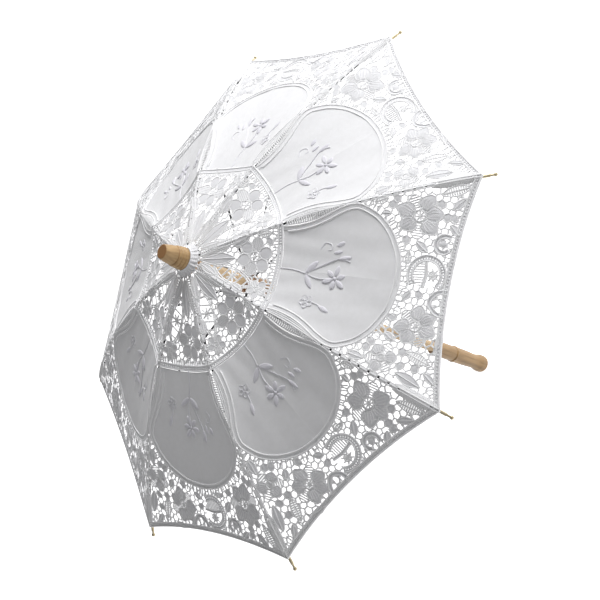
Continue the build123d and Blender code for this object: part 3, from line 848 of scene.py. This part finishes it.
def embroidery(satin):
    """White satin stitch on a petal: stems, leaves, a large flower and a small one."""
    base = 0.35

    def satin_leaf(start, end, width):
        outline = leaf_outline(start, end, width, 0.7)
        way = np.asarray(end) - np.asarray(start)
        patch(satin, outline, 0.85, 0.3, base, math.atan2(way[1], way[0]))

    def stem(points, radius=0.55):
        sweep(satin, smooth(points, 1.8), round_profile(radius, 5), base + 0.2)

    node = at(138.0, -2.0)
    heart = at(168.0, -4.0)
    stem([at(112.0, 0.5), at(126.0, 0.5), node])
    stem([node, at(152.0, -5.5), heart])
    satin_leaf(node, at(149.0, 11.0), 6.0)
    satin_leaf(node, at(147.0, -16.0), 5.0)
    stem([node, at(156.0, 8.0), at(170.0, 15.0), at(180.0, 13.0)])
    satin_leaf(at(168.0, 14.5), at(181.0, 17.5), 4.0)
    for n in range(6):
        angle = 0.35 + n * math.pi / 3
        way = unit(angle)
        satin_leaf(heart + way * 1.6, heart + way * (13.0 if n % 2 else 11.0), 5.0)
    patch(satin, ellipse(heart, 1.6, 1.6, count=9), 0.9, 0.3, base)
    small = at(146.0, -28.0)
    for n in range(5):
        angle = 0.8 + n * math.pi * 0.4
        petal = petal_outline(small, 1.2, 6.4, 5.2, angle, 7)
        sweep(satin, resample(petal, 1.4, True), round_profile(0.42, 5), base + 0.15, True)
    stem([small + [5.0, 0.0], at(158.0, -30.0), at(164.0, -33.0)])
    satin_leaf(at(158.0, -30.5), at(170.0, -36.0), 4.2)
    stem([at(150.0, 22.0), at(154.0, 28.0), at(160.0, 27.0), at(161.0, 22.5), at(157.0, 21.5)], 0.5)
    satin_leaf(at(165.0, 26.0), at(173.0, 31.0), 4.0)
    satin_leaf(at(163.0, 19.5), at(172.0, 22.0), 3.2)


def petal_cloth(cloth):
    """The smooth cotton of one petal, both halves, with a faint crease along its middle."""
    half = petal_side()
    along, across = half[np.argsort(half[:, 0])].T
    keep = np.concatenate([[True], np.diff(along) > 0.12])
    along, across = along[keep], across[keep]
    columns = 36
    share = np.linspace(0.0, 1.0, columns)
    for sign in (-1, 1):
        grid_along = np.repeat(along[:, None], columns, axis=1)
        width = np.maximum(across - 0.6, 0.05)
        grid_across = MIDDLE_GAP + width[:, None] * share[None, :]
        bow = BAND_BOW * (1 - share[None, :] ** 2) * np.clip(1 - (along[:, None] - along[0]) / 14.0, 0, 1)
        crease = 0.1 * np.exp(-((grid_across / 1.6) ** 2))
        run = along[:, None] - along[0]
        ripple = 0.28 * np.sin(grid_across / 3.1 + run / 37.0) * np.exp(-run / 55.0)
        ripple += 0.18 * np.sin(grid_across / 5.7 - run / 16.0)
        edge_fade = np.clip((width[:, None] - grid_across) / 6.0, 0, 1)
        lift = 0.35 + crease + ripple * edge_fade
        top = np.stack([grid_along + bow, sign * grid_across, lift], axis=2)
        if sign < 0:
            top = top[:, ::-1]
        add_sheet(cloth, top, 0.35)


# ---- Blender meshes ----


def add_object(name, data):
    made = bpy.data.objects.new(name, data)
    bpy.context.scene.collection.objects.link(made)
    return made


def make_mesh(name, material, points, threads, quads, triangles):
    """A mesh from arrays, in metres, with the thread coordinate as a UV map."""
    used = np.unique(np.concatenate([quads.ravel(), triangles.ravel()]))
    index = np.full(len(points), -1)
    index[used] = np.arange(len(used))
    quads, triangles = index[quads], index[triangles]
    loops = np.concatenate([quads.ravel(), triangles.ravel()])
    sizes = np.concatenate([np.full(len(quads), 4), np.full(len(triangles), 3)])
    starts = np.concatenate([[0], np.cumsum(sizes)[:-1]])
    mesh = bpy.data.meshes.new(name)
    mesh.vertices.add(len(used))
    mesh.vertices.foreach_set("co", (points[used] * MM).astype(np.float32).ravel())
    mesh.loops.add(len(loops))
    mesh.loops.foreach_set("vertex_index", loops.astype(np.int32))
    mesh.polygons.add(len(sizes))
    mesh.polygons.foreach_set("loop_start", starts.astype(np.int32))
    mesh.polygons.foreach_set("use_smooth", np.ones(len(sizes), bool))
    layer = mesh.uv_layers.new(name="thread")
    layer.data.foreach_set("uv", (threads[used, :2][loops] * 0.01).astype(np.float32).ravel())
    # per point, how much painted shade the cotton materials mix in (cloth 1, cord 0)
    woven = mesh.attributes.new("woven", "FLOAT", "POINT")
    woven.data.foreach_set("value", threads[used, 2].astype(np.float32))
    mesh.update(calc_edges=True)
    mesh.validate()
    mesh.set_sharp_from_angle(angle=SHARP_ANGLE)
    mesh.materials.append(material)
    return mesh


def half_gore(pattern, side, number, name, material):
    """The part of a pattern on one side of a gore, turned to where it belongs."""
    points, threads, quads, triangles = pattern
    placed = on_canopy(points)
    quads = quads[np.sign(placed[quads, 1].mean(axis=1) + 1e-9) == side]
    triangles = triangles[np.sign(placed[triangles, 1].mean(axis=1) + 1e-9) == side]
    turn = (2 * number + 1) * HALF_TURN
    c, s = math.cos(turn), math.sin(turn)
    rotation = np.array([[c, s, 0.0], [-s, c, 0.0], [0.0, 0.0, 1.0]])
    return add_object(name, make_mesh(name, material, placed @ rotation, threads, quads, triangles))


def bend_with_rib(piece):
    """Bakes the piece's turn and place into its mesh."""
    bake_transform(piece)


# ---- materials ----


class Finish:
    """A material, with short ways to add nodes; each gives back the output that is used."""

    def __init__(self, name):
        self.material = bpy.data.materials.new(name)
        self.material.use_nodes = True
        self.nodes = self.material.node_tree.nodes

    def feed(self, node, inputs):
        """Sets inputs to numbers or colours, or joins them to the outputs of other nodes."""
        for name, value in inputs.items():
            if isinstance(value, bpy.types.NodeSocket):
                self.material.node_tree.links.new(value, node.inputs[name])
            else:
                node.inputs[name].default_value = value

    def shade(self, inputs):
        """The finished material."""
        self.feed(self.nodes["Principled BSDF"], inputs)
        return self.material

    def add(self, kind, inputs, output):
        node = self.nodes.new(f"ShaderNode{kind}")
        self.feed(node, inputs)
        return node.outputs[output]

    def place(self):
        return self.nodes.new("ShaderNodeTexCoord").outputs

    def attribute(self, name):
        node = self.nodes.new("ShaderNodeAttribute")
        node.attribute_name = name
        return node.outputs["Fac"]

    def calculate(self, operation, inputs):
        node = self.nodes.new("ShaderNodeMath")
        node.operation = operation
        self.feed(node, dict(enumerate(inputs)))
        return node.outputs["Value"]

    def mix(self, factor, first, second):
        node = self.nodes.new("ShaderNodeMix")
        node.data_type = "RGBA"
        self.feed(node, {"Factor": factor, "A": first, "B": second})
        return node.outputs["Result"]

    def ramp(self, factor, low, high, start=0.3, stop=0.7):
        node = self.nodes.new("ShaderNodeValToRGB")
        for element, position, tone in zip(node.color_ramp.elements, (start, stop), (low, high)):
            element.position = position
            element.color = (*tone, 1.0)
        self.feed(node, {"Fac": factor})
        return node.outputs["Color"]

    def between(self, factor, low, high):
        return self.add("MapRange", {"Value": factor, "To Min": low, "To Max": high}, "Result")

    def noise(self, vector, scale, detail=4.0):
        return self.add("TexNoise", {"Vector": vector, "Scale": scale, "Detail": detail}, "Fac")

    def turned(self, vector, angle):
        return self.add("Mapping", {"Vector": vector, "Rotation": (0.0, 0.0, angle)}, "Vector")

    def bump(self, height, strength, distance, below=None):
        inputs = {"Height": height, "Strength": strength, "Distance": distance}
        if below is not None:
            inputs["Normal"] = below
        return self.add("Bump", inputs, "Normal")


SCATTER = (0.002, 0.002, 0.002)  # how far light travels in cotton


def cotton(name, thread, cloth, stitch_scale, stitch_angle, roughness, sheen):
    """White cotton: stitches along each thread, fine fuzz, slight toning, and a darker second tone on the
    cloth parts that is painted shade.
    """
    finish = Finish(name)
    place = finish.place()
    across = finish.turned(place["UV"], stitch_angle)
    lines = {"Vector": across, "Scale": stitch_scale, "Distortion": 0.6, "Detail": 1.0}
    stitches = finish.bump(finish.add("TexWave", lines, "Fac"), 0.6, 0.0003)
    fuzz = finish.noise(place["Object"], 1400.0)
    toning = finish.noise(place["Object"], 38.0)
    tones = [finish.ramp(toning, tuple(0.93 * value for value in tone), tone) for tone in (thread, cloth)]
    return finish.shade({
        # painted shade: the darker cloth tone is mixed in where the points are cloth rather than cord
        "Base Color": finish.mix(finish.attribute("woven"), *tones),
        "Normal": finish.bump(fuzz, 0.3, 0.0001, stitches),
        "Roughness": roughness,
        "Sheen Weight": sheen,
        "Subsurface Weight": 0.12,
        "Subsurface Radius": SCATTER,
        "Specular IOR Level": 0.3,
    })


def plain_weave(name, low, high):
    """Smooth cotton cloth: over-and-under threads in both directions, with slubs."""
    finish = Finish(name)
    place = finish.place()
    waves = []
    for turn in (0.0, math.pi / 2):
        threads = {"Vector": finish.turned(place["UV"], turn), "Scale": 75.0, "Distortion": 0.4}
        waves.append(finish.add("TexWave", threads, "Fac"))
    weave = finish.bump(finish.calculate("MULTIPLY", waves), 0.35, 0.00015)
    slub = finish.noise(place["Object"], 210.0, 6.0)
    return finish.shade({
        "Base Color": finish.ramp(slub, low, high),
        "Normal": finish.bump(slub, 0.25, 0.0004, weave),
        "Roughness": 0.75,
        "Sheen Weight": 0.15,
        "Subsurface Weight": 0.1,
        "Subsurface Radius": SCATTER,
    })


def wood(name, low, high, end_grain, roughness):
    """Turned pale wood: long grain along the shaft, fine pores, darker end grain."""
    finish = Finish(name)
    place = finish.place()
    drawn_out = finish.add("Mapping", {"Vector": place["Object"], "Scale": (1.0, 1.0, 0.07)}, "Vector")
    grain = finish.noise(drawn_out, 420.0, 6.0)
    broad = finish.noise(drawn_out, 90.0, 3.0)
    colour = finish.ramp(finish.calculate("MULTIPLY", [grain, broad]), low, high, 0.14, 0.36)
    upright = finish.add("SeparateXYZ", {"Vector": place["Normal"]}, "Z")
    flatness = finish.calculate("ABSOLUTE", [upright])
    end = finish.add("MapRange", {"Value": flatness, "From Min": 0.8, "From Max": 0.97}, "Result")
    return finish.shade({
        "Base Color": finish.mix(end, colour, (*end_grain, 1.0)),
        "Normal": finish.bump(grain, 0.25, 0.0002),
        "Roughness": finish.between(broad, roughness - 0.08, roughness + 0.12),
        "Coat Weight": 0.12,
        "Coat Roughness": 0.35,
    })


def metal(name, low, high, metallic, roughness):
    """Wire, plate or brass with fine scratches and patches of wear."""
    finish = Finish(name)
    place = finish.place()
    scratches = finish.noise(place["Object"], 900.0, 5.0)
    wear = finish.noise(place["Object"], 120.0, 3.0)
    return finish.shade({
        "Base Color": finish.ramp(wear, low, high, 0.4, 0.75),
        "Normal": finish.bump(scratches, 0.2, 0.00008),
        "Roughness": finish.between(wear, roughness - 0.1, roughness + 0.15),
        "Metallic": metallic,
    })


def floor_material():
    """Plain and pale, with an even glow of its own."""
    return Finish("pale_floor").shade({
        "Base Color": (0.9, 0.9, 0.9, 1.0),
        "Roughness": 0.95,
        "Emission Color": (1.0, 1.0, 1.0, 1.0),
        "Emission Strength": 0.88,
    })


# ---- assembly ----


def build_canopy():
    """One gore's pattern, and its two halves set round the shaft eight times."""
    rng = np.random.default_rng(SEED)
    lace = Lace()
    make_medallion(lace, rng)
    make_crown_folds(lace)
    make_petal_border(lace)
    make_insets(lace)
    make_outer_lace(lace, rng)
    cloth = Lace()
    petal_cloth(cloth)
    satin = Lace()
    embroidery(satin)
    # the second colour given to cotton_lace and to satin_stitch is painted shade for the cloth parts
    cotton_lace = cotton("cotton_lace", (0.95, 0.95, 0.965), (0.85, 0.85, 0.875), 26.0, 0.8, 0.8, 0.2)
    petal_cotton = plain_weave("petal_cotton", (0.855, 0.855, 0.87), (0.885, 0.885, 0.905))
    satin_stitch = cotton("satin_stitch", (0.86, 0.855, 0.9), (0.82, 0.81, 0.87), 30.0, 1.57, 0.5, 0.3)
    patterns = {
        "lace": (lace.arrays(False), cotton_lace),
        "cords": (lace.arrays(True), cotton_lace),
        "petal": (cloth.arrays(), petal_cotton),
        "embroidery": (satin.arrays(), satin_stitch),
    }
    for number in range(RIBS):
        for side, rib, half in ((-1, number + 1, "left"), (1, (number + 1) % RIBS + 1, "right")):
            pieces = {}
            for kind, (arrays, material) in patterns.items():
                name = f"canopy_{kind}_{rib}_{half}"
                pieces[kind] = half_gore(arrays, side, number, name, material)
                bend_with_rib(pieces[kind])
            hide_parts(f"canopy_{rib}_{half}")


def build_crown():
    """The gathered cloth that closes the canopy round the ferrule's foot."""
    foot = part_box("ferrule")[0].z / MM
    outer = CROWN_RADIUS + 0.5
    canopy_top = float(on_canopy(np.array([[length_at(outer), 0.0, 0.0]]))[0, 2])
    rings, columns = 7, 193
    share = np.linspace(0.0, 1.0, rings)[:, None]
    angle = np.linspace(0.0, 2 * math.pi, columns)[None, :]
    uneven = np.cos(24 * angle + 1.1 * np.sin(3 * angle)) + 0.5 * np.cos(17 * angle + 2.0)
    radius = CROWN_HOLE + (outer - CROWN_HOLE) * share**1.25 + 0.3 * uneven * np.sin(math.pi * share)
    height = foot + 2.0 - (foot + 1.4 - canopy_top) * share**0.8 + 0.55 * uneven * share
    points = np.stack([radius * np.cos(angle), radius * np.sin(angle), height], axis=2)
    gather = Lace()
    # the gathered cloth gets the full painted shade of cotton_lace
    add_sheet(gather, points, 0.4, 1.0)
    cotton_lace = bpy.data.materials["cotton_lace"]
    piece = add_object("crown_gather", make_mesh("crown_gather", cotton_lace, *gather.arrays()))
    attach(piece, "root")
    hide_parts("crown_cap")


def paint(node, material):
    """Gives a CAD node its finish."""
    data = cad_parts[node].data
    data.materials.clear()
    data.materials.append(material)


def paint_frame():
    turned = wood("turned_wood", (0.36, 0.215, 0.09), (0.56, 0.37, 0.175), (0.3, 0.15, 0.055), 0.5)
    # painted shade: the handle's wood is a darker copy of the turned wood, darkened for the shade on the
    # handle
    shaded_handle_wood = wood("shaded_handle_wood", (0.2, 0.115, 0.042), (0.36, 0.22, 0.09), (0.2, 0.11, 0.04), 0.45)
    shaft_wood = wood("shaft_wood", (0.42, 0.29, 0.16), (0.58, 0.43, 0.26), (0.36, 0.22, 0.11), 0.55)
    dark_wood = wood("runner_wood", (0.2, 0.11, 0.05), (0.34, 0.2, 0.1), (0.2, 0.1, 0.05), 0.5)
    wire = metal("black_wire", (0.012, 0.012, 0.014), (0.035, 0.034, 0.036), 0.35, 0.42)
    steel = metal("spring_steel", (0.42, 0.42, 0.43), (0.62, 0.62, 0.62), 1.0, 0.35)
    brass = metal("pale_brass", (0.5, 0.42, 0.27), (0.68, 0.6, 0.42), 0.75, 0.38)
    finishes = {
        "ferrule": turned,
        "handle": shaded_handle_wood,
        "shaft": shaft_wood,
        "runner": dark_wood,
        "top_notch": dark_wood,
    }
    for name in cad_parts:
        if name.startswith("canopy_") or name == "crown_cap":
            continue
        finish = steel
        if name.startswith("rib_tip_"):
            finish = brass
        elif name.startswith(("rib_", "stretcher_")):
            finish = wire
        paint(name, finishes.get(name, finish))


# ---- camera, lights and floor ----

CAMERA_AZIMUTH = 10.46  # degrees, from the -Y side towards +X
CAMERA_ELEVATION = 41.14
CAMERA_DISTANCE = 1.3636
CAMERA_ROLL = 70.6
CAMERA_LENS = 81.9
SENSOR_WIDTH = 36.0
AIM = Vector((0.0078, -0.0418, TIP_HEIGHT * MM))
FLOOR_REACH = 40.0  # metres from the middle to each side


def build_camera():
    azimuth, elevation, roll = (math.radians(x) for x in (CAMERA_AZIMUTH, CAMERA_ELEVATION, CAMERA_ROLL))
    level = math.cos(elevation)
    back = Vector((math.sin(azimuth) * level, -math.cos(azimuth) * level, math.sin(elevation)))
    right = Vector((0.0, 0.0, 1.0)).cross(back).normalized()
    up = back.cross(right)
    turned_up = up * math.cos(roll) + right * math.sin(roll)
    turned_right = turned_up.cross(back)
    camera = add_object("camera", bpy.data.cameras.new("camera"))
    camera.data.lens = CAMERA_LENS
    camera.data.sensor_width = SENSOR_WIDTH
    rotation = Matrix((turned_right, turned_up, back)).transposed().to_4x4()
    camera.matrix_world = Matrix.Translation(AIM + back * CAMERA_DISTANCE) @ rotation
    bpy.context.scene.camera = camera


def area_light(name, way, distance, size, energy):
    """A soft square light that shines at the canopy."""
    light = add_object(name, bpy.data.lights.new(name, "AREA"))
    light.data.size = size
    light.data.energy = energy
    way = Vector(way).normalized()
    light.location = AIM + way * distance
    light.rotation_mode = "QUATERNION"
    light.rotation_quaternion = way.to_track_quat("Z", "Y")


def build_studio():
    mesh = bpy.data.meshes.new("floor")
    low, high = -FLOOR_REACH, FLOOR_REACH
    mesh.from_pydata([(low, low, 0), (high, low, 0), (high, high, 0), (low, high, 0)], [], [(0, 1, 2, 3)])
    mesh.materials.append(floor_material())
    add_object("floor", mesh)
    area_light("key_light", (0.9, 0.26, 0.54), distance=2.2, size=1.0, energy=46.0)
    area_light("fill_light", (-0.2, -0.8, 0.9), distance=2.6, size=2.0, energy=4.5)
    world = bpy.data.worlds.new("studio")
    world.use_nodes = True
    background = world.node_tree.nodes["Background"]
    background.inputs["Color"].default_value = (1.0, 1.0, 1.0, 1.0)
    background.inputs["Strength"].default_value = 0.2
    bpy.context.scene.world = world
    bpy.context.scene.view_settings.view_transform = "Standard"


build_canopy()
build_crown()
paint_frame()
build_camera()
build_studio()
